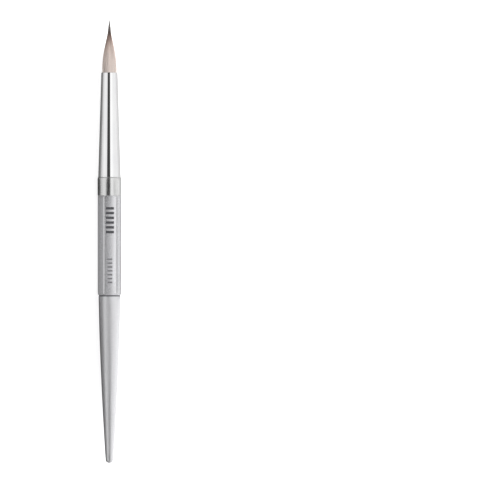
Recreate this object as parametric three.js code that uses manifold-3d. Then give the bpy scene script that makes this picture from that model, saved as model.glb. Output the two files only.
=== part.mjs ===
// Fine detail brush with a metal handle, in millimetres.
//
// The brush lies on its side with its long axis along +Y, hair to +Y, and +Z up.
// X = 0 and Y = 0 are the middle of its length and width, and Z = 0 is the surface
// that the collar, the widest turned piece, lies on.
//
// The head (hair, binding, resin, ferrule and stem) screws into the collar. The handle
// is a stack of collar, hexagonal grip, washer and tail, pulled together by a rod that
// runs through the grip.

import * as THREE from 'three';
import { mergeVertices } from 'three/addons/utils/BufferGeometryUtils.js';
import Module from 'manifold-3d';

const wasm = await Module();
wasm.setup();

// Lengths along the brush, from the point of the hair to the nose of the tail.
const tuftLength = 21.8;
const ferruleLength = 40.8;
const collarLength = 7.2;
const gripLength = 38.7;
const washerThickness = 0.5;
const tailLength = 65.1;

// Outside radii.
const bellyRadius = 2.83;
const mouthRadius = 3.2;
const ferruleBaseRadius = 4.38;
const collarRadius = 4.65;
const gripApothem = 4.175;
const gripCornerRadius = 4.6;
const tailRadius = 4.24;

// Hollows, stems and fits.
const ferruleWall = 0.35;
const threadRadius = 2;
const neckRadius = 1.6;
const neckLength = 1.2;
const stemLength = 7;
const sealSectionRadius = 0.42;
const socketRadius = 3;
const staticGap = 0.02;
const runningGap = 0.06;
const segments = 36;

// Stations along Y.
const handleLength = collarLength + gripLength + washerThickness + tailLength;
const tipY = (tuftLength + ferruleLength + handleLength) / 2;
const mouthY = tipY - tuftLength;
const shoulderY = mouthY - ferruleLength;
const gripTopY = shoulderY - collarLength;
const gripEndY = gripTopY - gripLength;
const tailTopY = gripEndY - washerThickness;
const noseY = tailTopY - tailLength;

function metal(color, roughness) {
  return new THREE.MeshStandardMaterial({ color, roughness, metalness: 1 });
}

function plain(color, roughness) {
  return new THREE.MeshStandardMaterial({ color, roughness, metalness: 0 });
}

const materials = {
  hair: plain(0xcdc0b8, 0.7),
  thread: plain(0xe6dcc4, 0.9),
  resin: plain(0xb98a4a, 0.4),
  nickel: metal(0xdcdcdc, 0.1),
  brass: metal(0xc9a45a, 0.35),
  rubber: plain(0x1a1a1c, 0.8),
  nylon: plain(0x4a4a4d, 0.6),
  satin: metal(0xc9c9cd, 0.4),
  steel: metal(0x9a9a9c, 0.35),
};

// A solid of revolution about Y. Points are [radius, y], counted from +Y to -Y on the
// outside, and either start and end on the axis or come back to the first point.
function turnedGeometry(points) {
  const profile = points.map(([radius, y]) => new THREE.Vector2(radius, y));
  return new THREE.LatheGeometry(profile.reverse(), segments);
}

function turnedMesh(name, material, points) {
  const mesh = new THREE.Mesh(turnedGeometry(points), material);
  mesh.name = name;
  return mesh;
}

function toManifold(geometry) {
  const bare = geometry.clone();
  bare.deleteAttribute('normal');
  bare.deleteAttribute('uv');
  const merged = mergeVertices(bare, 1e-4);
  const solid = new wasm.Mesh({
    numProp: 3,
    vertProperties: new Float32Array(merged.attributes.position.array),
    triVerts: new Uint32Array(merged.index.array),
  });
  return new wasm.Manifold(solid);
}

function fromManifold(manifold) {
  const { vertProperties, triVerts } = manifold.getMesh();
  const geometry = new THREE.BufferGeometry();
  geometry.setAttribute('position', new THREE.BufferAttribute(vertProperties, 3));
  geometry.setIndex(new THREE.BufferAttribute(triVerts, 1));
  geometry.computeVertexNormals();
  return geometry;
}

// Steps from 0 to 1, both ends included.
function steps(count) {
  return Array.from({ length: count + 1 }, (_, i) => i / count);
}

// Inside radius of the conical ferrule at a distance behind its mouth.
function boreRadius(depth) {
  const slope = (ferruleBaseRadius - mouthRadius) / ferruleLength;
  return mouthRadius - ferruleWall + slope * depth;
}

// Hair radius at a share of the free length: a full belly that falls away to a needle.
function hairRadius(share) {
  const belly = bellyRadius * (1 - share ** 3) ** 3.6;
  const needle = 0.35 * share ** 4 * (1 - share) ** 0.45;
  return belly + needle;
}

const rootDepth = 9;
const bindingLength = 2;
const boundRadius = 2.35;

function filamentTuft() {
  const freeRows = steps(12).slice(1);
  const free = freeRows.map((share) => [hairRadius(share), mouthY + tuftLength * share]);
  free[free.length - 1][0] = 0;
  return turnedMesh('filament_tuft', materials.hair, [
    ...free.reverse(),
    [bellyRadius, mouthY],
    [bellyRadius, mouthY - rootDepth / 2],
    [boundRadius, mouthY - rootDepth + bindingLength],
    [boundRadius, mouthY - rootDepth],
    [0, mouthY - rootDepth],
  ]);
}

// Waxed thread wound round the root of the hair, as one band.
function bindingThread() {
  const inner = boundRadius + staticGap;
  const outer = boundRadius + 0.4;
  const low = mouthY - rootDepth;
  const high = low + bindingLength - 2 * staticGap;
  const bevel = 0.15;
  return turnedMesh('binding_thread', materials.thread, [
    [inner, high],
    [outer - bevel, high],
    [outer, high - bevel],
    [outer, low + bevel],
    [outer - bevel, low],
    [inner, low],
    [inner, high],
  ]);
}

function resinPlug() {
  const top = rootDepth + staticGap;
  const bottom = rootDepth + 4;
  return turnedMesh('resin_plug', materials.resin, [
    [0, mouthY - top],
    [boreRadius(top) - staticGap, mouthY - top],
    [boreRadius(bottom) - staticGap, mouthY - bottom],
    [0, mouthY - bottom],
  ]);
}

function ferrule() {
  const lip = 0.1;
  const base = shoulderY + staticGap;
  return turnedMesh('ferrule', materials.nickel, [
    [boreRadius(lip), mouthY - lip],
    [boreRadius(0) + lip, mouthY],
    [mouthRadius - lip, mouthY],
    [mouthRadius, mouthY - 2 * lip],
    [ferruleBaseRadius, base + lip],
    [ferruleBaseRadius - lip, base],
    [boreRadius(ferruleLength), base],
    [boreRadius(lip), mouthY - lip],
  ]);
}

// Plug pressed into the ferrule, with a grooved neck and a threaded stem below it.
function headStem() {
  const plugLength = 8;
  const lead = 0.4;
  const base = shoulderY + staticGap;
  return turnedMesh('head_stem', materials.brass, [
    [0, base + plugLength],
    [boreRadius(ferruleLength - plugLength) - staticGap, base + plugLength],
    [boreRadius(ferruleLength) - staticGap, base],
    [neckRadius, base],
    [neckRadius, base - neckLength],
    [threadRadius, base - neckLength],
    [threadRadius, base - stemLength + lead],
    [threadRadius - lead, base - stemLength],
    [0, base - stemLength],
  ]);
}

// Rubber ring in the neck groove, which keeps the head from working loose.
function stemSealRing() {
  const centreRadius = neckRadius + runningGap + sealSectionRadius;
  const centreY = shoulderY + staticGap - neckLength / 2;
  const section = steps(10).map((turn) => {
    const angle = -turn * 2 * Math.PI;
    return [
      centreRadius + sealSectionRadius * Math.cos(angle),
      centreY + sealSectionRadius * Math.sin(angle),
    ];
  });
  section[section.length - 1] = section[0];
  return turnedMesh('stem_o_ring', materials.rubber, section);
}

function collar() {
  const edgeDepth = collarRadius - ferruleBaseRadius;
  const edgeLength = 0.55;
  const roundedEdge = steps(3).map((turn) => {
    const angle = (turn * Math.PI) / 2;
    return [
      ferruleBaseRadius + edgeDepth * Math.sin(angle),
      shoulderY - edgeLength * (1 - Math.cos(angle)),
    ];
  });
  const backBevel = 0.1;
  return turnedMesh('collar', materials.nickel, [
    [socketRadius + staticGap, shoulderY],
    ...roundedEdge,
    [collarRadius, gripTopY + backBevel],
    [collarRadius - backBevel, gripTopY],
    [socketRadius + staticGap, gripTopY],
    [socketRadius + staticGap, shoulderY],
  ]);
}

const insertDepth = 8;

// Tapped sleeve that joins the collar to the grip and takes the stem and the rod.
function socketInsert() {
  const bore = threadRadius + runningGap;
  const sealBore = neckRadius + 2 * (runningGap + sealSectionRadius);
  const sealDepth = neckLength + 0.2;
  const end = gripTopY - insertDepth;
  return turnedMesh('socket_insert', materials.brass, [
    [sealBore, shoulderY],
    [socketRadius, shoulderY],
    [socketRadius, end],
    [bore, end],
    [bore, shoulderY - sealDepth],
    [sealBore, shoulderY - sealDepth],
    [sealBore, shoulderY],
  ]);
}

const spigotLength = 3;

// Hexagonal bar as long as the grip, corners at +X and -X and flats up and down.
function hexagonalBar() {
  const cornerDistance = gripApothem / Math.cos(Math.PI / 6);
  const outline = new THREE.Shape(
    steps(6)
      .slice(1)
      .map((turn) => {
        const angle = turn * 2 * Math.PI;
        return new THREE.Vector2(
          cornerDistance * Math.cos(angle),
          cornerDistance * Math.sin(angle),
        );
      }),
  );
  const length = gripLength + 2;
  const bar = new THREE.ExtrudeGeometry(outline, { depth: length, bevelEnabled: false });
  bar.rotateX(-Math.PI / 2);
  bar.translate(0, gripEndY - 1, 0);
  return bar;
}

// The hexagonal bar turned down to its corner lands and end bevels, and bored.
function hexGrip() {
  const topBevel = 0.25;
  const endBevel = 0.5;
  const rodBore = threadRadius + 0.3;
  const insertBore = socketRadius + staticGap;
  const insertFloor = gripTopY - insertDepth - staticGap;
  const spigotFloor = gripEndY + spigotLength + staticGap;
  const blank = turnedGeometry([
    [insertBore, gripTopY],
    [gripCornerRadius - topBevel, gripTopY],
    [gripCornerRadius, gripTopY - topBevel],
    [gripCornerRadius, gripEndY + endBevel],
    [gripCornerRadius - endBevel / 2, gripEndY],
    [insertBore, gripEndY],
    [insertBore, spigotFloor],
    [rodBore, spigotFloor],
    [rodBore, insertFloor],
    [insertBore, insertFloor],
    [insertBore, gripTopY],
  ]);
  const solid = toManifold(blank).intersect(toManifold(hexagonalBar()));
  const mesh = new THREE.Mesh(fromManifold(solid), materials.satin);
  mesh.name = 'hex_grip';
  return mesh;
}

const rodEngagement = 9;

// Threaded rod through the grip, screwed into the insert and into the tail.
function tieRod() {
  const front = gripTopY - 1;
  const back = tailTopY - rodEngagement;
  const lead = 0.4;
  return turnedMesh('tie_rod', materials.steel, [
    [0, front],
    [threadRadius - lead, front],
    [threadRadius, front - lead],
    [threadRadius, back + lead],
    [threadRadius - lead, back],
    [0, back],
  ]);
}

function tailWasher() {
  const inner = socketRadius + staticGap;
  const outer = tailRadius - 0.1;
  return turnedMesh('tail_washer', materials.nylon, [
    [inner, gripEndY],
    [outer, gripEndY],
    [outer, tailTopY],
    [inner, tailTopY],
    [inner, gripEndY],
  ]);
}

// Tail radius at a share of its length: a bowed taper that keeps its thickness at first.
function taperRadius(share) {
  return tailRadius * (1 - 0.66 * share ** 1.45);
}

function tail() {
  const noseLength = 1.5;
  const noseShare = 1 - noseLength / tailLength;
  const topBevel = 0.1;
  const blindBore = threadRadius + runningGap;
  const boreEnd = tailTopY - rodEngagement - 1;
  const taper = steps(12)
    .slice(1)
    .map((share) => [
      taperRadius(share * noseShare),
      tailTopY - tailLength * share * noseShare,
    ]);
  const nose = steps(5)
    .slice(1)
    .map((turn) => {
      const angle = (turn * Math.PI) / 2;
      return [
        taperRadius(noseShare) * Math.cos(angle),
        noseY + noseLength * (1 - Math.sin(angle)),
      ];
    });
  nose[nose.length - 1][0] = 0;
  return turnedMesh('tail', materials.satin, [
    [0, boreEnd],
    [blindBore, boreEnd],
    [blindBore, gripEndY + spigotLength],
    [socketRadius, gripEndY + spigotLength],
    [socketRadius, tailTopY],
    [tailRadius - topBevel, tailTopY],
    [tailRadius, tailTopY - topBevel],
    ...taper,
    ...nose,
  ]);
}

const head = new THREE.Group();
head.add(filamentTuft(), bindingThread(), resinPlug(), ferrule(), headStem());

const handle = new THREE.Group();
handle.add(collar(), socketInsert(), hexGrip(), tieRod(), tailWasher(), tail());

const brush = new THREE.Group();
brush.add(head, stemSealRing(), handle);
brush.position.z = collarRadius;

export default brush;
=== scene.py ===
"""Looks of the fine detail brush: meshes, materials, studio and camera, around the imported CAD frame.

Lengths are in metres. The brush lies along +Y with its hair to +Y, and AXIS_Z is the height of its axis.
"""

import math

import bmesh
import bpy
import numpy as np
from mathutils import Matrix, Vector


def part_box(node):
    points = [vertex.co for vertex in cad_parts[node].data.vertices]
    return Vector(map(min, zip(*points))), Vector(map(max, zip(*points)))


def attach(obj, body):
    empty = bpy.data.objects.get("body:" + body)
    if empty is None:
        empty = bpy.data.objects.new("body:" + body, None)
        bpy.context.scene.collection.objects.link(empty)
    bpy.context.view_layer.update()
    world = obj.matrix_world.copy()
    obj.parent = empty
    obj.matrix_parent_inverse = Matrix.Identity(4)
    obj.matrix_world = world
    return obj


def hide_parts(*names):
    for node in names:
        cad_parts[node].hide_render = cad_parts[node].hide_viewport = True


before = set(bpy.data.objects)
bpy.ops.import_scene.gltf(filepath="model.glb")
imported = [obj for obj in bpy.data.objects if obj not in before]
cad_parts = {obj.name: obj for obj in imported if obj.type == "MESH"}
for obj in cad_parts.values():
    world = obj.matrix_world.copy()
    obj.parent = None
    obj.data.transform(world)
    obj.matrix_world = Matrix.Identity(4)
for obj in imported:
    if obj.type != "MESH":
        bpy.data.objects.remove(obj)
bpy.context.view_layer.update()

MM = 0.001
MICRON = 1e-6
TURN = 2 * math.pi

# Sides of a turned piece: large outsides, plain pieces, small pieces, threads and the rod.
FINE_SIDES = 192
SIDES = 144
SMALL_SIDES = 96
THREAD_SIDES = 72
ROD_SIDES = 48


# ---------------------------------------------------------------- places from the frame


def extent(node):
    """(front end, back end, outer radius) of a CAD node along the brush."""
    low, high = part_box(node)
    return high.y, low.y, (high.x - low.x) / 2


collar_low, collar_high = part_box("collar")
AXIS_Z = (collar_low.z + collar_high.z) / 2
TIP_Y, ROOT_Y, BELLY_R = extent("filament_tuft")
MOUTH_Y, FERRULE_BASE_Y, FERRULE_BASE_R = extent("ferrule")
SHOULDER_Y, COLLAR_END_Y, COLLAR_R = extent("collar")
GRIP_TOP_Y, GRIP_END_Y, GRIP_CORNER_R = extent("hex_grip")
GRIP_APOTHEM = (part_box("hex_grip")[1].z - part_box("hex_grip")[0].z) / 2
WASHER_TOP_Y, TAIL_TOP_Y, WASHER_R = extent("tail_washer")
SPIGOT_TOP_Y, NOSE_Y, TAIL_R = extent("tail")
STEM_TOP_Y, STEM_END_Y, _ = extent("head_stem")
INSERT_TOP_Y, INSERT_END_Y, INSERT_R = extent("socket_insert")
RING_TOP_Y, RING_END_Y, RING_R = extent("stem_o_ring")
ROD_TOP_Y, ROD_END_Y, ROD_R = extent("tie_rod")
BINDING_TOP_Y, BINDING_END_Y, BINDING_R = extent("binding_thread")
RESIN_TOP_Y, RESIN_END_Y, _ = extent("resin_plug")

# Sizes that the boxes don't show, as in the CAD, and the depth of the threads.
MOUTH_R = 3.2 * MM
WALL = 0.35 * MM
THREAD_R = 2.0 * MM
NECK_R = 1.6 * MM
NECK_LENGTH = 1.2 * MM
PITCH = 0.7 * MM
THREAD_DEPTH = 0.38 * MM
STATIC_GAP = 0.02 * MM
RUNNING_GAP = 0.06 * MM


# ---------------------------------------------------------------- mesh building


def place(radius, y, angle):
    """Point at a radius and an angle about the brush axis, where angle 0 is up."""
    return (radius * math.sin(angle), y, AXIS_Z + radius * math.cos(angle))


def circle(radius, y, sides=SIDES):
    """Ring of points about the axis, or its one middle point where the radius is 0."""
    if radius <= 0:
        return [place(0, y, 0)]
    return [place(radius, y, TURN * i / sides) for i in range(sides)]


def add_object(name, data):
    """New object in the scene."""
    added = bpy.data.objects.new(name, data)
    bpy.context.scene.collection.objects.link(added)
    return added


def skin(name, rings, closed=False, smooth_angle=40):
    """Surface through rings of points, where a ring of one point is a pole.

    With closed, the last ring is joined to the first.
    """
    vertices, starts = [], []
    for ring in rings:
        starts.append(len(vertices))
        vertices.extend(ring)
    order = list(range(len(rings))) + ([0] if closed else [])
    faces = []
    for a, b in zip(order, order[1:]):
        count = max(len(rings[a]), len(rings[b]))
        for i in range(count):
            j = (i + 1) % count
            corners = [
                starts[a] + i % len(rings[a]),
                starts[a] + j % len(rings[a]),
                starts[b] + j % len(rings[b]),
                starts[b] + i % len(rings[b]),
            ]
            faces.append(list(dict.fromkeys(corners)))
    mesh = bpy.data.meshes.new(name)
    mesh.from_pydata(vertices, [], faces)
    work = bmesh.new()
    work.from_mesh(mesh)
    bmesh.ops.recalc_face_normals(work, faces=work.faces)
    work.to_mesh(mesh)
    work.free()
    mesh.shade_smooth()
    mesh.set_sharp_from_angle(angle=math.radians(smooth_angle))
    return add_object(name, mesh)


def turned(name, profile, closed=False, sides=SIDES):
    """Solid of revolution about the brush axis through (radius, y) points."""
    return skin(name, [circle(radius, y, sides) for radius, y in profile], closed)


def arc(centre_r, centre_y, size, start, end, count=6, size_y=None):
    """Points of a profile's rounding. Angles are in degrees: 0 points outwards and 90 to the hair."""
    size_y = size if size_y is None else size_y
    points = []
    for i in range(count + 1):
        angle = math.radians(start + (end - start) * i / count)
        points.append((centre_r + size * math.cos(angle), centre_y + size_y * math.sin(angle)))
    return points


CRISP_GAP = 0.06 * MM
CRISP_SHARE = 0.2


def between(a, b, count):
    """Points from a towards b, without either end, and close to both so that roundings stay crisp."""
    (r0, y0), (r1, y1) = a, b
    near = min(CRISP_SHARE, CRISP_GAP / math.hypot(r1 - r0, y1 - y0))
    shares = [near] + [i / (count + 1) for i in range(1, count + 1)] + [1 - near]
    return [(r0 + (r1 - r0) * s, y0 + (y1 - y0) * s) for s in shares]


# A tooth's height and the steepness of its flanks, before its crest and root are cut flat.
TOOTH_HEIGHT = 1.35
TOOTH_FLANK = 3.4
THREAD_LEAD = 0.35 * MM
THREAD_TRIM = 0.1 * MM


def thread_rings(major, front_y, back_y, sides=THREAD_SIDES, rows_per_turn=14):
    """Rings of a right-handed screw thread that fades out at both ends."""
    rows = max(2, round((front_y - back_y) / PITCH * rows_per_turn))
    rings = []
    for row in range(rows + 1):
        y = front_y + (back_y - front_y) * row / rows
        fade = min(1, (front_y - y) / THREAD_LEAD, (y - back_y) / THREAD_LEAD)
        ring = []
        for i in range(sides):
            wave = (y / PITCH - i / sides) % 1
            tooth = min(1, max(0, TOOTH_HEIGHT - TOOTH_FLANK * abs(wave - 0.5)))
            radius = major - THREAD_DEPTH * (1 - tooth * max(0, fade))
            ring.append(place(radius, y, TURN * i / sides))
        rings.append(ring)
    return rings


# ---------------------------------------------------------------- node materials


def linear_light(display):
    """Linear light of one display level from 0 to 1."""
    if display <= 0.04045:
        return display / 12.92
    return ((display + 0.055) / 1.055) ** 2.4


def srgb(red, green, blue):
    """Linear colour from 8-bit display values."""
    return (linear_light(red / 255), linear_light(green / 255), linear_light(blue / 255), 1)


class Graph:
    """Short calls for the nodes of one tree."""

    def __init__(self, tree):
        self.tree = tree

    def add(self, kind, inputs=None, **settings):
        """New node with its settings, and with values or links for its inputs."""
        node = self.tree.nodes.new(kind)
        for key, value in settings.items():
            setattr(node, key, value)
        for key, value in (inputs or {}).items():
            self.feed(node.inputs[key], value)
        return node

    def feed(self, socket, value):
        """Links a socket into an input, or sets the input to a plain value."""
        if isinstance(value, bpy.types.NodeSocket):
            self.tree.links.new(value, socket)
        else:
            socket.default_value = value

    def math(self, operation, a, b=0.0, c=0.0, clamp=False):
        """Arithmetic on values or sockets."""
        node = self.add("ShaderNodeMath", {0: a, 1: b, 2: c}, operation=operation, use_clamp=clamp)
        return node.outputs[0]

    def axes(self, vector):
        """The three numbers of a vector."""
        split = self.add("ShaderNodeSeparateXYZ", {0: vector})
        return split.outputs["X"], split.outputs["Y"], split.outputs["Z"]

    def range(self, value, low, high, to_low=0.0, to_high=1.0):
        """A value moved from one range to another and kept inside it."""
        inputs = {
            "Value": value,
            "From Min": low,
            "From Max": high,
            "To Min": to_low,
            "To Max": to_high,
        }
        return self.add("ShaderNodeMapRange", inputs).outputs["Result"]

    def ramp(self, value, stops):
        """Colour ramp through (place, colour) stops."""
        node = self.add("ShaderNodeValToRGB", {"Fac": value})
        elements = node.color_ramp.elements
        while len(elements) < len(stops):
            elements.new(1.0)
        for element, (position, colour) in zip(elements, stops):
            element.position = position
            element.color = colour
        return node.outputs["Color"]


class Surface(Graph):
    """Nodes of one new material, with its place on the object and its surface shader."""

    def __init__(self, name):
        self.material = bpy.data.materials.new(name)
        self.material.use_nodes = True
        super().__init__(self.material.node_tree)
        self.shader = self.tree.nodes["Principled BSDF"]
        self.place = self.add("ShaderNodeTexCoord").outputs["Object"]

    def set(self, **values):
        """Feeds the surface shader, with _ for the spaces in its inputs' names."""
        for key, value in values.items():
            self.feed(self.shader.inputs[key.replace("_", " ")], value)

    def noise(self, per_metre, detail=3.0, roughness=0.5):
        """Noise from 0 to 1 with its own repeats per metre along X, Y and Z."""
        scaled = self.add("ShaderNodeVectorMath", {0: self.place, 1: per_metre}, operation="MULTIPLY")
        inputs = {"Vector": scaled.outputs[0], "Scale": 1.0, "Detail": detail, "Roughness": roughness}
        return self.add("ShaderNodeTexNoise", inputs).outputs["Fac"]

    def mix(self, share, a, b):
        """Colour between a and b, by number because the node's socket names repeat."""
        node = self.add("ShaderNodeMix", {0: share, 6: a, 7: b}, data_type="RGBA")
        return node.outputs[2]

    def bump(self, height, distance, strength, under=None):
        """Normal bent by a height, over another bump where one lies under it."""
        inputs = {"Height": height, "Distance": distance, "Strength": strength}
        if under is not None:
            inputs["Normal"] = under
        return self.add("ShaderNodeBump", inputs).outputs["Normal"]


def polished_nickel(name, low, high, roughness):
    """Mirror finish with faint smears, hair-fine polishing lines and a few lengthwise rubs."""
    n = Surface(name)
    smears = n.noise((260, 90, 260), detail=4)
    lines = n.noise((900, 26000, 900), detail=2)
    rubs = n.noise((14000, 500, 14000), detail=2)
    tone = n.range(smears, 0.3, 0.7)
    colour = n.mix(tone, low, high)
    soft = n.math("MULTIPLY", n.range(rubs, 0.62, 0.8), 0.05)
    rough = n.math("ADD", n.range(smears, 0.25, 0.75, roughness, 1.8 * roughness), soft)
    normal = n.bump(lines, 0.4 * MICRON, 0.5)
    n.set(Base_Color=colour, Metallic=1.0, Roughness=rough, Normal=normal)
    return n.material


def satin_metal(n, tone_low, tone_high, roughness):
    """Colour, roughness and normal of blasted aluminium with turning lines and hairline rubs."""
    cloud = n.noise((120, 45, 120), detail=3)
    grain = n.noise((14000, 14000, 14000), detail=3, roughness=0.6)
    lines = n.noise((500, 9000, 500), detail=2)
    rub = n.range(n.noise((7000, 180, 7000), detail=2), 0.6, 0.72)
    speck = n.range(grain, 0.35, 0.65)
    turned_lines = n.range(lines, 0.35, 0.65)
    tone = n.math("MULTIPLY", rub, 0.15)
    for part, weight in ((speck, 0.3), (cloud, 0.3), (turned_lines, 0.25)):
        tone = n.math("MULTIPLY_ADD", part, weight, tone)
    colour = n.mix(tone, tone_low, tone_high)
    cloudy = n.range(cloud, 0.3, 0.7, roughness - 0.03, roughness + 0.03)
    grainy = n.math("MULTIPLY_ADD", speck, 0.05, cloudy)
    rough = n.math("MULTIPLY_ADD", rub, -0.08, grainy)
    normal = n.bump(grain, 5 * MICRON, 0.6, under=n.bump(lines, 4 * MICRON, 0.5))
    return colour, rough, normal


NOSE_POLISH = 0.09


def satin_aluminium():
    """Satin aluminium whose finish grows a little tighter towards the nose."""
    n = Surface("satin_aluminium")
    colour, rough, normal = satin_metal(n, srgb(231, 231, 234), srgb(252, 252, 253), 0.46)
    _, y, _ = n.axes(n.place)
    tighter = n.range(y, NOSE_Y, TAIL_TOP_Y, NOSE_POLISH, 0.0)
    n.set(Base_Color=colour, Metallic=1.0, Roughness=n.math("SUBTRACT", rough, tighter), Normal=normal)
    return n.material


def stripe_mask(n, value, centre, half_width, soft=0.03 * MM):
    """1 within half_width of centre, 0 outside, with a soft edge."""
    away = n.math("ABSOLUTE", n.math("SUBTRACT", value, centre))
    return n.range(away, half_width - soft, half_width + soft, 1.0, 0.0)


def bars_mask(n, x, y, front_y, bars, pitch, half_length, half_width):
    """Evenly spaced bars across the grip, counted back from front_y."""
    total = None
    for i in range(bars):
        bar = n.math(
            "MULTIPLY",
            stripe_mask(n, y, front_y - pitch * (i + 0.5), half_width),
            stripe_mask(n, x, 0.0, half_length),
        )
        total = bar if total is None else n.math("MAXIMUM", total, bar)
    return total


INK = srgb(58, 58, 62)
SMALL_INK_SHARE = 0.85
TURNED_LAND = srgb(226, 226, 228)
GRIP_METALLIC = 0.87
MARKS_FROM = 3.9 * MM

LARGE_BARS = {
    "front_y": GRIP_TOP_Y - 4.0 * MM,
    "bars": 6,
    "pitch": 1.85 * MM,
    "half_length": 1.6 * MM,
    "half_width": 0.5 * MM,
}
SMALL_BARS = {
    "front_y": GRIP_TOP_Y - 24.0 * MM,
    "bars": 7,
    "pitch": 1.5 * MM,
    "half_length": 0.95 * MM,
    "half_width": 0.32 * MM,
}


def marked_aluminium():
    """Satin aluminium with smoother corner lands and plain printed bars on the upper flat."""
    n = Surface("marked_aluminium")
    colour, rough, normal = satin_metal(n, srgb(229, 229, 232), srgb(247, 247, 250), 0.22)
    x, y, z = n.axes(n.place)
    height = n.math("SUBTRACT", z, AXIS_Z)
    from_axis = n.math("SQRT", n.math("MULTIPLY_ADD", x, x, n.math("MULTIPLY", height, height)))
    land = n.range(from_axis, GRIP_CORNER_R - 0.09 * MM, GRIP_CORNER_R - 0.03 * MM)
    bare = n.mix(n.math("MULTIPLY", land, 0.8), colour, TURNED_LAND)
    bare_rough = n.math("MULTIPLY_ADD", land, -0.06, rough)
    large = bars_mask(n, x, y, **LARGE_BARS)
    small = bars_mask(n, x, y, **SMALL_BARS)
    printed = n.math("MAXIMUM", large, n.math("MULTIPLY", small, SMALL_INK_SHARE))
    wear = n.range(n.noise((5000, 5000, 5000), detail=3), 0.3, 0.5, 0.82, 1.0)
    top_only = n.range(z, AXIS_Z + MARKS_FROM, AXIS_Z + MARKS_FROM + 0.05 * MM)
    ink = n.math("MULTIPLY", n.math("MULTIPLY", printed, wear), top_only)
    n.set(
        Base_Color=n.mix(ink, bare, INK),
        Metallic=n.math("MULTIPLY_ADD", ink, -GRIP_METALLIC, GRIP_METALLIC),
        Roughness=n.math("MAXIMUM", bare_rough, n.math("MULTIPLY", ink, 0.5)),
        Normal=normal,
    )
    return n.material


def turned_metal(name, low, high, roughness):
    """Turned and threaded metal with tool lines and stained flanks."""
    n = Surface(name)
    lines = n.noise((500, 22000, 500), detail=2)
    stain = n.noise((900, 900, 900), detail=4)
    colour = n.mix(n.range(stain, 0.3, 0.7), low, high)
    rough = n.range(stain, 0.3, 0.7, roughness - 0.05, roughness + 0.1)
    n.set(Base_Color=colour, Metallic=1.0, Roughness=rough, Normal=n.bump(lines, 1.5 * MICRON, 0.6))
    return n.material


def moulded_polymer(name, low, high, roughness):
    """Rubber or nylon with a fine moulded texture and dusty lights."""
    n = Surface(name)
    grain = n.noise((9000, 9000, 9000), detail=3)
    dust = n.noise((1500, 1500, 1500), detail=4)
    colour = n.mix(n.range(dust, 0.4, 0.75), low, high)
    rough = n.range(grain, 0.3, 0.7, roughness - 0.08, roughness + 0.08)
    n.set(Base_Color=colour, Metallic=0.0, Roughness=rough, Normal=n.bump(grain, 6 * MICRON, 0.5))
    return n.material


def wound_thread():
    """Waxed linen with fine twisted fibres."""
    n = Surface("waxed_thread")
    fibres = n.noise((9000, 24000, 9000), detail=3)
    colour = n.mix(n.range(fibres, 0.3, 0.7), srgb(206, 192, 160), srgb(238, 228, 204))
    n.set(Base_Color=colour, Metallic=0.0, Roughness=0.6, Normal=n.bump(fibres, 10 * MICRON, 0.6))
    return n.material


def cured_resin():
    """Amber epoxy, a little cloudy, with a clear skin."""
    n = Surface("resin")
    cloud = n.noise((900, 900, 900), detail=3)
    colour = n.mix(n.range(cloud, 0.3, 0.7), srgb(168, 116, 52), srgb(206, 160, 92))
    rough = n.range(cloud, 0.3, 0.7, 0.2, 0.32)
    n.set(Base_Color=colour, Metallic=0.0, Roughness=rough, Coat_Weight=0.3)
    return n.material


# Hair colours from the ferrule's mouth (0) to the point (1).
HAIR_STOPS = [
    (0.0, srgb(219, 206, 199)),
    (0.36, srgb(217, 202, 194)),
    (0.5, srgb(203, 183, 173)),
    (0.6, srgb(170, 145, 135)),
    (0.68, srgb(118, 95, 86)),
    (0.75, srgb(82, 69, 64)),
    (0.82, srgb(116, 109, 105)),
    (0.9, srgb(132, 130, 129)),
    (1.0, srgb(140, 139, 138)),
]
# Painted shade: how far the hair's colour moves towards the brown band per metre to the left of the
# axis.
PAINTED_LEFT_SHADE_PER_METRE = 32.0


def hair():
    """Dyed filaments, each a little different: grey-beige, then dark brown, then grey at the point, with
    painted shade that turns the left side of the bundle browner.
    """
    n = Surface("hair")
    x, y, _ = n.axes(n.place)
    tint = n.add("ShaderNodeAttribute", attribute_name="tint").outputs["Fac"]
    share = n.range(y, MOUTH_Y, TIP_Y)
    streaks = n.noise((1500, 60, 1500), detail=3)
    own_shift = n.math("MULTIPLY_ADD", tint, 0.16, -0.08)
    # Each filament's own dye shift, plus painted shade that darkens the left side of the bundle.
    tint_and_painted_left_shade = n.math("MULTIPLY_ADD", x, -PAINTED_LEFT_SHADE_PER_METRE, own_shift)
    reach = n.math("ADD", tint_and_painted_left_shade, n.range(streaks, 0.3, 0.7, -0.04, 0.04))
    colour = n.ramp(n.math("ADD", share, reach, clamp=True), HAIR_STOPS)
    scrambled_tint = n.math("FRACT", n.math("MULTIPLY", tint, 7.31))
    lightness = n.range(scrambled_tint, 0.0, 1.0, 0.78, 1.08)
    along = n.noise((9000, 400, 9000), detail=2)
    shade = n.math("MULTIPLY", lightness, n.range(along, 0.3, 0.7, 0.93, 1.05))
    scale = n.add("ShaderNodeVectorMath", {0: colour}, operation="SCALE")
    n.feed(scale.inputs["Scale"], shade)
    n.set(
        Base_Color=scale.outputs[0],
        Metallic=0.0,
        Roughness=n.range(along, 0.3, 0.7, 0.36, 0.48),
        Normal=n.bump(along, 3 * MICRON, 0.5),
    )
    n.shader.inputs["Specular IOR Level"].default_value = 0.45
    n.shader.inputs["Sheen Weight"].default_value = 0.3
    n.shader.inputs["Sheen Roughness"].default_value = 0.5
    return n.material


TABLE_LOW = (0.72, 0.72, 0.72, 1)
TABLE_HIGH = (0.76, 0.76, 0.76, 1)
TABLE_LIFT = 0.68


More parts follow.
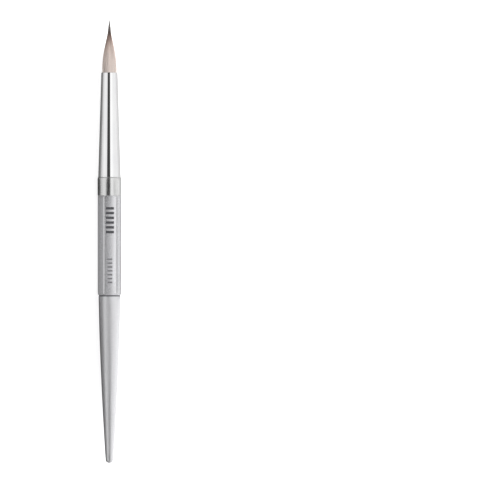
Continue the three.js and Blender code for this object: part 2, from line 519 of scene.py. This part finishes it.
def table_top():
    """Pale table that the camera sees a little overexposed, so that its shadows stay faint."""
    n = Surface("table_top")
    cloud = n.noise((3, 3, 3), detail=3)
    n.set(Base_Color=n.mix(cloud, TABLE_LOW, TABLE_HIGH), Metallic=0.0, Roughness=0.8)
    n.shader.inputs["Specular IOR Level"].default_value = 0.1
    n.shader.inputs["Emission Color"].default_value = (1, 1, 1, 1)
    seen = n.add("ShaderNodeLightPath").outputs["Is Camera Ray"]
    n.set(Emission_Strength=n.math("MULTIPLY", seen, TABLE_LIFT))
    return n.material


# ---------------------------------------------------------------- pieces


def finish_piece(piece, body, node, material):
    """Gives a piece its material and its place in the model."""
    piece.data.materials.append(material)
    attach(piece, body)
    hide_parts(node)


def bore_radius(depth):
    """Inside radius of the ferrule at a distance behind its mouth."""
    slope = (FERRULE_BASE_R - MOUTH_R) / (MOUTH_Y - FERRULE_BASE_Y)
    return MOUTH_R - WALL + slope * depth


def make_ferrule():
    """Open cone with a rolled lip round the hair and a crisp base."""
    lip = 0.13 * MM
    base_round = 0.06 * MM
    outer_front = (MOUTH_R, MOUTH_Y - lip)
    outer_back = (FERRULE_BASE_R, FERRULE_BASE_Y + base_round)
    inner_front = (bore_radius(lip), MOUTH_Y - lip)
    inner_back = (bore_radius(MOUTH_Y - FERRULE_BASE_Y), FERRULE_BASE_Y)
    profile = arc(MOUTH_R - lip, MOUTH_Y - lip, lip, 90, 0, 7)
    profile += between(outer_front, outer_back, 12)
    profile += arc(FERRULE_BASE_R - base_round, FERRULE_BASE_Y + base_round, base_round, 0, -90, 4)
    profile += [inner_back]
    profile += between(inner_back, inner_front, 12)
    profile += arc(bore_radius(lip) + lip, MOUTH_Y - lip, lip, 180, 90, 5)
    return turned("ferrule_shell", profile, closed=True, sides=FINE_SIDES)


def make_collar():
    """Ring whose long front rounding meets the ferrule's base."""
    bore = INSERT_R + STATIC_GAP
    edge_r = COLLAR_R - FERRULE_BASE_R
    edge_y = 0.8 * MM
    back_round = 0.1 * MM
    face_inner = (bore + 0.3 * MM, SHOULDER_Y)
    face_outer = (COLLAR_R - edge_r - 0.03 * MM, SHOULDER_Y)
    profile = [(bore, SHOULDER_Y), face_inner, face_outer]
    profile += arc(COLLAR_R - edge_r, SHOULDER_Y - edge_y, edge_r, 90, 0, 9, size_y=edge_y)
    profile += between((COLLAR_R, SHOULDER_Y - edge_y), (COLLAR_R, COLLAR_END_Y + back_round), 3)
    profile += arc(COLLAR_R - back_round, COLLAR_END_Y + back_round, back_round, 0, -90, 4)
    profile += [(bore, COLLAR_END_Y)]
    return turned("collar_ring", profile, closed=True, sides=FINE_SIDES)


GRIP_CROWN = 0.085 * MM
FULL_HALF_FLAT = 2.03 * MM
FLAT_STEPS = [-1, -0.985, -0.95, -0.8, -0.6, -0.4, -0.2, 0, 0.2, 0.4, 0.6, 0.8, 0.95, 0.985, 1]
LAND_STEPS = [0.08, 0.3, 0.5, 0.7, 0.92]


def grip_section(turned_radius):
    """Outline of the grip as (radius, angle): six crowned flats cut off by the turned corner lands."""
    crown_share = 1 - 2 * GRIP_APOTHEM * GRIP_CROWN / FULL_HALF_FLAT**2
    half_flat = math.sqrt((turned_radius**2 - GRIP_APOTHEM**2) / crown_share)
    outline = []
    for side in range(6):
        turn = side * TURN / 6
        for step in FLAT_STEPS:
            across = step * half_flat
            out = GRIP_APOTHEM - GRIP_CROWN * (across / FULL_HALF_FLAT) ** 2
            outline.append((math.hypot(across, out), turn + math.atan2(across, out)))
        corner_r, corner_angle = outline[-1]
        land = TURN / 6 - 2 * (corner_angle - turn)
        outline += [(corner_r, corner_angle + land * step) for step in LAND_STEPS]
    return outline


def make_grip():
    """Hexagonal bar with narrow corner lands and a small turned bevel at each end."""
    bevel = 0.5 * MM
    front = 0.25 * MM
    edge_y = 0.06 * MM
    edge_r = 0.015 * MM
    end_r = GRIP_CORNER_R - bevel / 2
    insert_bore = INSERT_R + STATIC_GAP
    rod_bore = ROD_R + 0.3 * MM
    insert_floor = INSERT_END_Y - STATIC_GAP
    spigot_floor = SPIGOT_TOP_Y + STATIC_GAP
    land_start = (GRIP_CORNER_R, GRIP_TOP_Y - 1.3 * front)
    bevel_start = (GRIP_CORNER_R, GRIP_END_Y + bevel)
    bevel_end = (end_r, GRIP_END_Y + edge_y)
    stations = [(GRIP_CORNER_R - front, GRIP_TOP_Y), (GRIP_CORNER_R - 2 * edge_r, GRIP_TOP_Y - front)]
    stations += [land_start, *between(land_start, bevel_start, 12)]
    stations += [bevel_start, *between(bevel_start, bevel_end, 4)]
    stations += [bevel_end, (end_r - edge_r, GRIP_END_Y)]
    rings = [[place(r, y, a) for r, a in grip_section(radius)] for radius, y in stations]
    angles = [a for _, a in grip_section(GRIP_CORNER_R)]
    bores = [
        (insert_bore, GRIP_END_Y),
        (insert_bore, spigot_floor),
        (rod_bore, spigot_floor),
        (rod_bore, insert_floor),
        (insert_bore, insert_floor),
        (insert_bore, GRIP_TOP_Y),
    ]
    rings += [[place(radius, y, a) for a in angles] for radius, y in bores]
    return skin("hex_grip_bar", rings, closed=True, smooth_angle=35)


def make_washer():
    """Thin flat ring with a rounded rim."""
    inner = INSERT_R + STATIC_GAP
    round_r = 0.08 * MM
    profile = [(inner, WASHER_TOP_Y)]
    profile += arc(WASHER_R - round_r, WASHER_TOP_Y - round_r, round_r, 90, 0, 4)
    profile += arc(WASHER_R - round_r, TAIL_TOP_Y + round_r, round_r, 0, -90, 4)
    profile += [(inner, TAIL_TOP_Y)]
    return turned("tail_washer_ring", profile, closed=True)


TAIL_TAPER = 0.66
TAIL_BOW = 1.45


def taper_radius(share):
    """Tail radius at a share of its length: a bowed taper."""
    return TAIL_R * (1 - TAIL_TAPER * share**TAIL_BOW)


def make_tail():
    """Bowed taper with a blunt nose, and a bored spigot that fits the grip."""
    length = TAIL_TOP_Y - NOSE_Y
    nose = 1.5 * MM
    bevel = 0.1 * MM
    nose_share = 1 - nose / length
    bore_r = THREAD_R + RUNNING_GAP
    bore_end = TAIL_TOP_Y - 10 * MM
    spigot_r = INSERT_R
    profile = [(0, bore_end), (bore_r, bore_end), (bore_r, SPIGOT_TOP_Y), (spigot_r, SPIGOT_TOP_Y)]
    profile += [(spigot_r, TAIL_TOP_Y), (TAIL_R - 1.5 * bevel, TAIL_TOP_Y)]
    profile += arc(TAIL_R - bevel, TAIL_TOP_Y - bevel, bevel, 90, 0, 4)
    rows = 40
    for i in range(1, rows + 1):
        share = nose_share * i / rows
        profile.append((taper_radius(share), TAIL_TOP_Y - length * share))
    end_r = taper_radius(nose_share)
    profile += arc(0, NOSE_Y + nose, end_r, 0, -90, 12, size_y=nose)[1:-1]
    profile += [(0, NOSE_Y)]
    return turned("tail_cone", profile, sides=FINE_SIDES)


def make_stem():
    """Brass plug, grooved neck and right-handed thread."""
    edge = 0.05 * MM
    plug_front = bore_radius(MOUTH_Y - STEM_TOP_Y) - STATIC_GAP
    plug_back = bore_radius(MOUTH_Y - FERRULE_BASE_Y) - STATIC_GAP
    thread_front = FERRULE_BASE_Y - NECK_LENGTH
    end_r = THREAD_R - 0.5 * MM
    head = [(0, STEM_TOP_Y), (plug_front - edge, STEM_TOP_Y), (plug_front, STEM_TOP_Y - edge)]
    head += [(plug_back, FERRULE_BASE_Y + edge), (plug_back - edge, FERRULE_BASE_Y)]
    head += [(NECK_R + edge, FERRULE_BASE_Y), (NECK_R, FERRULE_BASE_Y - edge), (NECK_R, thread_front)]
    rings = [circle(radius, y, THREAD_SIDES) for radius, y in head]
    rings += thread_rings(THREAD_R, thread_front, STEM_END_Y + THREAD_TRIM)
    rings += [circle(end_r, STEM_END_Y, THREAD_SIDES), circle(0, STEM_END_Y)]
    return skin("head_stem_screw", rings)


def make_seal_ring():
    """Rubber ring of round section."""
    middle_y = (RING_TOP_Y + RING_END_Y) / 2
    section = (RING_TOP_Y - RING_END_Y) / 2
    centre_r = RING_R - section
    profile = arc(centre_r, middle_y, section, 0, 360, 32)[:-1]
    return turned("stem_o_ring_seal", profile, closed=True, sides=SMALL_SIDES)


def make_insert():
    """Sleeve with a counterbore for the rubber ring and a chamfered mouth."""
    bevel = 0.08 * MM
    bore = THREAD_R + RUNNING_GAP
    seal_bore = RING_R + RUNNING_GAP
    seal_floor = INSERT_TOP_Y - NECK_LENGTH - 0.2 * MM
    profile = [(seal_bore, seal_floor), (seal_bore, INSERT_TOP_Y - bevel)]
    profile += [(seal_bore + bevel, INSERT_TOP_Y), (INSERT_R - bevel, INSERT_TOP_Y)]
    profile += [(INSERT_R, INSERT_TOP_Y - bevel)]
    profile += [(INSERT_R, INSERT_END_Y + bevel), (INSERT_R - bevel, INSERT_END_Y)]
    profile += [(bore, INSERT_END_Y), (bore, seal_floor)]
    return turned("socket_insert_sleeve", profile, closed=True, sides=SMALL_SIDES)


def make_rod():
    """Stud threaded over its whole length, with a coarser mesh because it is never seen."""
    end_r = ROD_R - 0.5 * MM
    front_y = ROD_TOP_Y - THREAD_TRIM
    back_y = ROD_END_Y + THREAD_TRIM
    rings = [circle(0, ROD_TOP_Y), circle(end_r, ROD_TOP_Y, ROD_SIDES)]
    rings += thread_rings(ROD_R, front_y, back_y, sides=ROD_SIDES, rows_per_turn=8)
    rings += [circle(end_r, ROD_END_Y, ROD_SIDES), circle(0, ROD_END_Y)]
    return skin("tie_rod_stud", rings)


def make_binding():
    """Thread wound round the root in touching turns, as one helical cord closed at its ends."""
    cord_r = 0.17 * MM
    cord_sides = 10
    steps_per_turn = 36
    coil_r = BINDING_R - cord_r - STATIC_GAP
    top = BINDING_TOP_Y - cord_r
    drop = BINDING_TOP_Y - BINDING_END_Y - 2 * cord_r
    turns = round(drop / (2 * cord_r))
    steps = turns * steps_per_turn
    rings = []
    for i in range(steps + 1):
        angle = TURN * turns * i / steps
        y = top - drop * i / steps
        size = cord_r * (0.98 if 0 < i < steps else 0.5)
        ring = []
        for k in range(cord_sides):
            around = TURN * k / cord_sides
            ring.append(place(coil_r + size * math.cos(around), y + size * math.sin(around), angle))
        rings.append(ring)
    centre_start = [place(coil_r, top, 0)]
    centre_end = [place(coil_r, top - drop, TURN * turns)]
    return skin("binding_winding", [centre_start] + rings + [centre_end])


def make_resin():
    """Cured plug with a hollow meniscus at each face."""
    dip = 0.35 * MM
    gap = 0.03 * MM
    steps = 8
    front_r = bore_radius(MOUTH_Y - RESIN_TOP_Y) - gap
    back_r = bore_radius(MOUTH_Y - RESIN_END_Y) - gap
    shares = [i / steps for i in range(steps + 1)]
    profile = [(front_r * s, RESIN_TOP_Y - dip * (1 - s**2)) for s in shares]
    profile += [(back_r * s, RESIN_END_Y + dip * (1 - s**2)) for s in reversed(shares)]
    return turned("resin_fill", profile, sides=SMALL_SIDES)


# ---------------------------------------------------------------- hair

# Outline of the bundle: a belly, and a needle that swells a little before it ends.
FREE_LENGTH = TIP_Y - MOUTH_Y
HAIR_BELLY_R = 2.79 * MM
BELLY_LENGTH_POWER = 2.4
BELLY_TAPER_POWER = 2.7
NEEDLE_R = 0.26 * MM
NEEDLE_PLACE = 0.845
NEEDLE_SPREAD = 0.115
NEEDLE_END_POWER = 12
TUFT_BOW = -0.05 * MM

# Filaments over the core, with lengths and thicknesses as shares.
FILAMENTS = 1100
FILAMENT_R = 0.055 * MM
FILAMENT_ROWS = 22
FILAMENT_SIDES = 4
FILAMENT_TAPER_SHARE = 0.35
FILAMENT_END_SHARE = 0.06
THICKEST_SHARE = 0.45
THINNEST_R = 0.012 * MM
SHORTEST_SHARE = 0.3
LONGEST_SHARE = 0.985
OUTER_LAYER_SHARE = 0.07
OUTER_LAYER_POWER = 0.6
GOLDEN_TURN = 0.618034
ROOT_HIDDEN = 1.6 * MM

# Core under the filaments, as shares of the bundle's radius and free length.
CORE_ROWS = 60
CORE_SHARE = 0.94
ROOT_SHARE = 0.97
CORE_END_SHARE = 0.97
CORE_TIP_SHARE = 0.975


def tuft_radius(share):
    """Radius of the whole bundle at a share of its free length: a bowed taper with a needle point."""
    share = np.clip(share, 0, 1)
    belly = HAIR_BELLY_R * (1 - share**BELLY_LENGTH_POWER) ** BELLY_TAPER_POWER
    swell = np.exp(-(((share - NEEDLE_PLACE) / NEEDLE_SPREAD) ** 2))
    needle = NEEDLE_R * swell * (1 - share**NEEDLE_END_POWER)
    return belly + needle


def tuft_middle(share):
    """How far the bundle bows sideways at a share of its free length."""
    return TUFT_BOW * np.sin(math.pi * np.clip(share, 0, 1))


def filament_ends(count, random):
    """Free length of each filament, so that fewer and fewer reach towards the point."""
    samples = 400
    thinning_power = 1.25
    shares = np.linspace(0, 1, samples)
    left = (tuft_radius(shares) / tuft_radius(0)) ** thinning_power
    picks = (np.arange(count) + random.random(count)) / count
    return np.interp(1 - picks, left[::-1], shares[::-1])


def filament_faces(count, rows, sides):
    """Faces of closed tubes whose points are numbered by tube, then row, then side."""
    faces = []
    for filament in range(count):
        first = filament * rows * sides
        faces.append([first + k for k in reversed(range(sides))])
        for row in range(rows - 1):
            here = first + row * sides
            for k in range(sides):
                after = (k + 1) % sides
                faces.append([here + k, here + after, here + sides + after, here + sides + k])
        faces.append([first + (rows - 1) * sides + k for k in range(sides)])
    return faces


def waves(values, *parts):
    """Sum of sine waves given as (size, count, phase)."""
    return sum(size * np.sin(values * count + phase) for size, count, phase in parts)


def filament_paths(random):
    """Free share, distance out, turn and thickness along every filament, and each filament's tint."""
    ends = np.clip(filament_ends(FILAMENTS, random), SHORTEST_SHARE, LONGEST_SHARE)
    random.shuffle(ends)
    angles = TURN * (np.arange(FILAMENTS) + random.random(FILAMENTS)) * GOLDEN_TURN
    depths = random.random(FILAMENTS) ** OUTER_LAYER_POWER
    layers = 1 - OUTER_LAYER_SHARE + OUTER_LAYER_SHARE * depths
    phases = random.random((FILAMENTS, 2)) * TURN
    tints = random.random(FILAMENTS)
    along = np.linspace(0, 1, FILAMENT_ROWS)
    start = -ROOT_HIDDEN / FREE_LENGTH
    shares = start + (ends[:, None] - start) * along[None, :]
    free = np.clip(shares, 0, 1)
    clump = waves(angles, (0.035, 9, 0.0), (0.02, 23, 1.3))
    wander = waves(free, (0.05, 7, phases[:, :1]), (0.03, 17, phases[:, 1:]))
    turn = angles[:, None] + (wander + clump[:, None]) * free
    bundle = tuft_radius(shares)
    lift = 1 + waves(free, (0.018, 9, phases[:, 1:])) * free
    radius = np.minimum(bundle * layers[:, None] * lift, BELLY_R - FILAMENT_R)
    taper = np.clip((1 - along) / FILAMENT_TAPER_SHARE, FILAMENT_END_SHARE, 1)
    thickness = np.minimum(FILAMENT_R * taper[None, :], THICKEST_SHARE * bundle + THINNEST_R)
    return shares, radius, turn, thickness, tints


def tint_points(mesh, tints):
    """Stores one tint for each vertex, for the hair's material."""
    tint = mesh.attributes.new("tint", "FLOAT", "POINT")
    tint.data.foreach_set("value", tints)


def make_filaments(random):
    """One mesh of tapered filaments that lie over the core and converge to the point."""
    shares, radius, turn, thickness, tints = filament_paths(random)
    points = np.empty((FILAMENTS, FILAMENT_ROWS, FILAMENT_SIDES, 3))
    for k in range(FILAMENT_SIDES):
        around = TURN * k / FILAMENT_SIDES
        out = radius + thickness * math.cos(around)
        side = thickness * math.sin(around)
        points[:, :, k, 0] = tuft_middle(shares) + out * np.sin(turn) + side * np.cos(turn)
        points[:, :, k, 1] = MOUTH_Y + shares * FREE_LENGTH
        points[:, :, k, 2] = AXIS_Z + out * np.cos(turn) - side * np.sin(turn)
    faces = filament_faces(FILAMENTS, FILAMENT_ROWS, FILAMENT_SIDES)
    mesh = bpy.data.meshes.new("tuft_filaments")
    mesh.from_pydata(points.reshape(-1, 3).tolist(), [], faces)
    mesh.shade_smooth()
    tint_points(mesh, np.repeat(tints, FILAMENT_ROWS * FILAMENT_SIDES))
    return add_object("tuft_filaments", mesh)


def make_tuft_core(random):
    """Solid heart of the bundle, ridged like packed filaments, with its bound root."""
    ridge = random.random(SIDES)
    ridge_share = 0.02
    bound_r = BINDING_R - 0.4 * MM
    bound_end = ROOT_Y + 2 * MM
    full_start = ROOT_Y + 4.5 * MM
    root = [(bound_r, ROOT_Y), (bound_r, bound_end), (HAIR_BELLY_R, full_start)]
    rings = [circle(0, ROOT_Y)]
    rings += [circle(radius * ROOT_SHARE, y) for radius, y in root]
    for row in range(CORE_ROWS):
        share = CORE_END_SHARE * row / (CORE_ROWS - 1)
        radius = float(tuft_radius(share)) * CORE_SHARE
        middle = float(tuft_middle(share))
        row_y = MOUTH_Y + share * FREE_LENGTH
        ring = []
        for i in range(SIDES):
            x, y, z = place(radius * (1 - ridge_share * ridge[i]), row_y, TURN * i / SIDES)
            ring.append((x + middle, y, z))
        rings.append(ring)
    tip_x = float(tuft_middle(CORE_TIP_SHARE))
    rings.append([(tip_x, MOUTH_Y + CORE_TIP_SHARE * FREE_LENGTH, AXIS_Z)])
    piece = skin("tuft_core", rings, smooth_angle=60)
    ring_tints = [0.3 + 0.4 * level for level in ridge]
    tint_points(piece.data, [0.5] + ring_tints * (CORE_ROWS + len(root)) + [0.5])
    return piece


# ---------------------------------------------------------------- studio

# Sky levels by angle from straight up, in degrees to the right, as seen along the brush.
SKY_STOPS = [
    (-90, 0.62),
    (-78, 0.72),
    (-62, 0.88),
    (-48, 0.85),
    (-29, 0.8),
    (-25, 0.05),
    (3, 0.05),
    (8, 0.95),
    (18, 1.0),
    (28, 1.0),
    (36, 0.92),
    (49, 0.86),
    (90, 0.84),
]
SKY_STRENGTH = 1.05
SKY_END_STRENGTH = 0.525
SKY_FULL_SHARE = 0.25
SKY_END_SHARE = 0.9


def make_sky():
    """World light whose bands run along the brush, and which falls off towards both of its ends."""
    world = bpy.data.worlds.new("studio")
    world.use_nodes = True
    world.node_tree.nodes.clear()
    bpy.context.scene.world = world
    n = Graph(world.node_tree)
    x, y, z = n.axes(n.add("ShaderNodeTexCoord").outputs["Generated"])
    share = n.range(n.math("ARCTAN2", x, z), -math.pi / 2, math.pi / 2)
    stops = [((degrees + 90) / 180, (level, level, level, 1)) for degrees, level in SKY_STOPS]
    along = n.math("ABSOLUTE", y)
    strength = n.range(along, SKY_FULL_SHARE, SKY_END_SHARE, SKY_STRENGTH, SKY_END_STRENGTH)
    inputs = {"Color": n.ramp(share, stops), "Strength": strength}
    background = n.add("ShaderNodeBackground", inputs)
    n.add("ShaderNodeOutputWorld", {"Surface": background.outputs[0]})


def aim(thing, position, target):
    """Points an object's -Z at target with its up along the brush."""
    back = (position - target).normalized()
    right = Vector((0, 1, 0)).cross(back).normalized()
    up = back.cross(right)
    thing.matrix_world = Matrix.Translation(position) @ Matrix((right, up, back)).transposed().to_4x4()


SOFTBOX_WIDTH = 0.5
SOFTBOX_LENGTH = 1.6
SOFTBOX_DISTANCE = 0.9

# Watts of each softbox, and its angle from straight up in degrees to the right.
SOFTBOXES = {"key": (8.7, 45), "fill": (2.5, -70)}


def make_softboxes():
    """Softboxes parallel to the brush on either side of it, which reflections don't see."""
    target = Vector((0, 0, AXIS_Z))
    for name, (watts, degrees) in SOFTBOXES.items():
        light = bpy.data.lights.new(name, "AREA")
        light.shape = "RECTANGLE"
        light.size = SOFTBOX_WIDTH
        light.size_y = SOFTBOX_LENGTH
        light.energy = watts
        softbox = add_object(name, light)
        slope = math.radians(degrees)
        aim(softbox, target + SOFTBOX_DISTANCE * Vector((math.sin(slope), 0, math.cos(slope))), target)
        softbox.visible_camera = False
        softbox.visible_glossy = False


def sheet(name, corners):
    """Flat object of one four-sided face."""
    mesh = bpy.data.meshes.new(name)
    mesh.from_pydata(corners, [], [(0, 1, 2, 3)])
    return add_object(name, mesh)


def grey_card(name, corners, stops):
    """Studio card that only reflections see, with its grey set by (X, level) stops."""
    card = sheet(name, corners)
    n = Surface(name)
    x, _, _ = n.axes(n.place)
    first, last = stops[0][0], stops[-1][0]
    greys = [((at - first) / (last - first), (level, level, level, 1)) for at, level in stops]
    n.set(Base_Color=n.ramp(n.range(x, first, last), greys), Roughness=1.0)
    n.shader.inputs["Specular IOR Level"].default_value = 0.0
    card.data.materials.append(n.material)
    card.visible_camera = False
    card.visible_diffuse = False
    card.visible_shadow = False


def flat_card(name, greys, z, ends, trims):
    """Level card over a stretch of the brush, with its front edge trimmed at the left and right."""
    stops = [(x * MM, level) for x, level in greys]
    left, right = stops[0][0], stops[-1][0]
    back, front = ends
    front_left = left + trims[0] * MM
    front_right = right - trims[1] * MM
    corners = [(left, back, z), (right, back, z), (front_right, front, z), (front_left, front, z)]
    grey_card(name, corners, stops)


CARD_END = 0.4
CARD_Z = 0.05 * MM
OVERHEAD_Z = 60 * MM
WALL_X = -70 * MM
WALL_TOP = 32 * MM
WALL_FRONT_Y = GRIP_TOP_Y - 5 * MM
WALL_LEVEL = 0.09
OVER_TAIL_Y = NOSE_Y - 30 * MM

# Cards on the table beside each stretch of the brush: its back and front ends in metres, then the
# (X in mm, grey) stops to its left and to its right. The left greys are a painted shadow: the brush's
# shadow on the table as the metal reflects it, darkest next to the brush.
TABLE_CARDS = {
    "tail": (
        (-CARD_END, TAIL_TOP_Y),
        [(-110, 0.5), (-65, 0.4), (-30, 0.2), (-14, 0.1), (-4.7, 0.1)],
        [(4.7, 0.95), (110, 1.0)],
    ),
    "grip": (
        (TAIL_TOP_Y, COLLAR_END_Y),
        [(-110, 0.55), (-65, 0.46), (-30, 0.34), (-14, 0.23), (-4.7, 0.23)],
        [(4.7, 0.4), (12.4, 0.3), (13.2, 1.0), (15.6, 1.0), (16.4, 0.3), (40, 0.45), (110, 0.6)],
    ),
    "collar": (
        (COLLAR_END_Y, SHOULDER_Y),
        [(-110, 0.48), (-65, 0.32), (-30, 0.14), (-14, 0.1), (-4.7, 0.1)],
        [(4.7, 0.62), (15, 0.62), (30, 0.85), (60, 1.0), (110, 1.0)],
    ),
    "ferrule": (
        (SHOULDER_Y, CARD_END),
        [(-110, 0.5), (-65, 0.42), (-30, 0.3), (-14, 0.2), (-4.7, 0.2)],
        [(4.7, 0.64), (24, 0.64), (110, 0.68)],
    ),
}

# Cards above the brush: (X in mm, grey) stops, height over the lowest of them in mm, back and front
# ends in metres, and trims of the front edge in mm.
OVERHEAD_CARDS = {
    "tail_flag": ([(-12, 0.04), (20, 0.04)], 0, (OVER_TAIL_Y, TAIL_TOP_Y - 8 * MM), (12, 18)),
    "tail_shade": (
        [(-70, 0.7), (-22, 0.7), (-8, 0.58), (6, 0.58), (14, 0.66), (26, 0.82), (45, 1.0)],
        1,
        (OVER_TAIL_Y, TAIL_TOP_Y - 2 * MM),
        (0, 0),
    ),
    "grip_shade": (
        [(-30, 0.2), (-8, 0.2), (2.5, 0.5)],
        0,
        (GRIP_END_Y, GRIP_TOP_Y),
        (0, 0),
    ),
    "collar_flag": (
        [(-40, 0.5), (-27, 0.12), (-20, 0.04), (5, 0.04)],
        0,
        (COLLAR_END_Y, SHOULDER_Y),
        (0, 0),
    ),
    "collar_shade": (
        [(36, 1.0), (58, 0.62), (80, 0.62), (102, 1.0)],
        0,
        (COLLAR_END_Y, SHOULDER_Y),
        (0, 0),
    ),
}


def make_cards():
    """Cards that tone the metal's reflections: on the table, above the handle and to its left."""
    for name, (ends, left, right) in TABLE_CARDS.items():
        for side, greys in (("left", left), ("right", right)):
            flat_card(f"{name}_{side}_card", greys, CARD_Z, ends, (0, 0))
    for name, (greys, lift, ends, trims) in OVERHEAD_CARDS.items():
        flat_card(name, greys, OVERHEAD_Z + lift * MM, ends, trims)
    wall = [(WALL_X, -CARD_END, 0), (WALL_X, WALL_FRONT_Y, 0)]
    wall += [(WALL_X, WALL_FRONT_Y, WALL_TOP), (WALL_X, -CARD_END, WALL_TOP)]
    grey_card("wall_card", wall, [(WALL_X - MM, WALL_LEVEL), (WALL_X + MM, WALL_LEVEL)])


def make_floor():
    """Wide pale table under the brush."""
    half = 4.0
    corners = [(-half, -half, 0), (half, -half, 0), (half, half, 0), (-half, half, 0)]
    floor = sheet("table_top", corners)
    floor.data.materials.append(table_top())


CAMERA_DISTANCE = 1.5
FRAME_WIDTH = 187.2 * MM
SENSOR_WIDTH_MM = 36.0
BRUSH_LEFT_OF_CENTRE = 50.9 * MM
BRUSH_SEEN_FROM = math.radians(-2.0)


def make_camera():
    """Long lens above the brush and a little to its left, with the brush left of the middle."""
    data = bpy.data.cameras.new("camera")
    camera = add_object("camera", data)
    data.sensor_width = SENSOR_WIDTH_MM
    data.lens = SENSOR_WIDTH_MM * CAMERA_DISTANCE / FRAME_WIDTH
    data.clip_end = 20.0
    tilt = BRUSH_SEEN_FROM - math.atan(BRUSH_LEFT_OF_CENTRE / CAMERA_DISTANCE)
    out = Vector((math.sin(tilt), 0, math.cos(tilt)))
    right = Vector((math.cos(tilt), 0, -math.sin(tilt)))
    middle = Vector((0, (TIP_Y + NOSE_Y) / 2, AXIS_Z)) + BRUSH_LEFT_OF_CENTRE * right
    aim(camera, middle + CAMERA_DISTANCE * out, middle)
    bpy.context.scene.camera = camera


# ---------------------------------------------------------------- assembly

make_camera()
make_sky()
make_softboxes()
make_floor()
make_cards()
bpy.context.scene.view_settings.view_transform = "Standard"

bright_nickel = polished_nickel("polished_nickel", srgb(245, 245, 246), srgb(252, 252, 252), 0.03)
grey_nickel = polished_nickel("polished_nickel_collar", srgb(221, 221, 221), srgb(232, 232, 231), 0.14)
aluminium = satin_aluminium()
brass = turned_metal("brass", srgb(176, 132, 62), srgb(214, 176, 104), 0.25)
steel = turned_metal("steel", srgb(120, 120, 122), srgb(160, 160, 162), 0.3)
rubber = moulded_polymer("rubber", srgb(22, 22, 24), srgb(44, 44, 46), 0.55)
nylon = moulded_polymer("nylon", srgb(84, 84, 88), srgb(108, 108, 112), 0.5)
hair_material = hair()

finish_piece(make_ferrule(), "head", "ferrule", bright_nickel)
finish_piece(make_collar(), "handle", "collar", grey_nickel)
finish_piece(make_grip(), "handle", "hex_grip", marked_aluminium())
finish_piece(make_washer(), "handle", "tail_washer", nylon)
finish_piece(make_tail(), "handle", "tail", aluminium)
finish_piece(make_stem(), "head", "head_stem", brass)
finish_piece(make_seal_ring(), "seal_ring", "stem_o_ring", rubber)
finish_piece(make_insert(), "handle", "socket_insert", brass)
finish_piece(make_rod(), "handle", "tie_rod", steel)
finish_piece(make_binding(), "head", "binding_thread", wound_thread())
finish_piece(make_resin(), "head", "resin_plug", cured_resin())

seeded = np.random.default_rng(8)
finish_piece(make_tuft_core(seeded), "head", "filament_tuft", hair_material)
finish_piece(make_filaments(seeded), "head", "filament_tuft", hair_material)
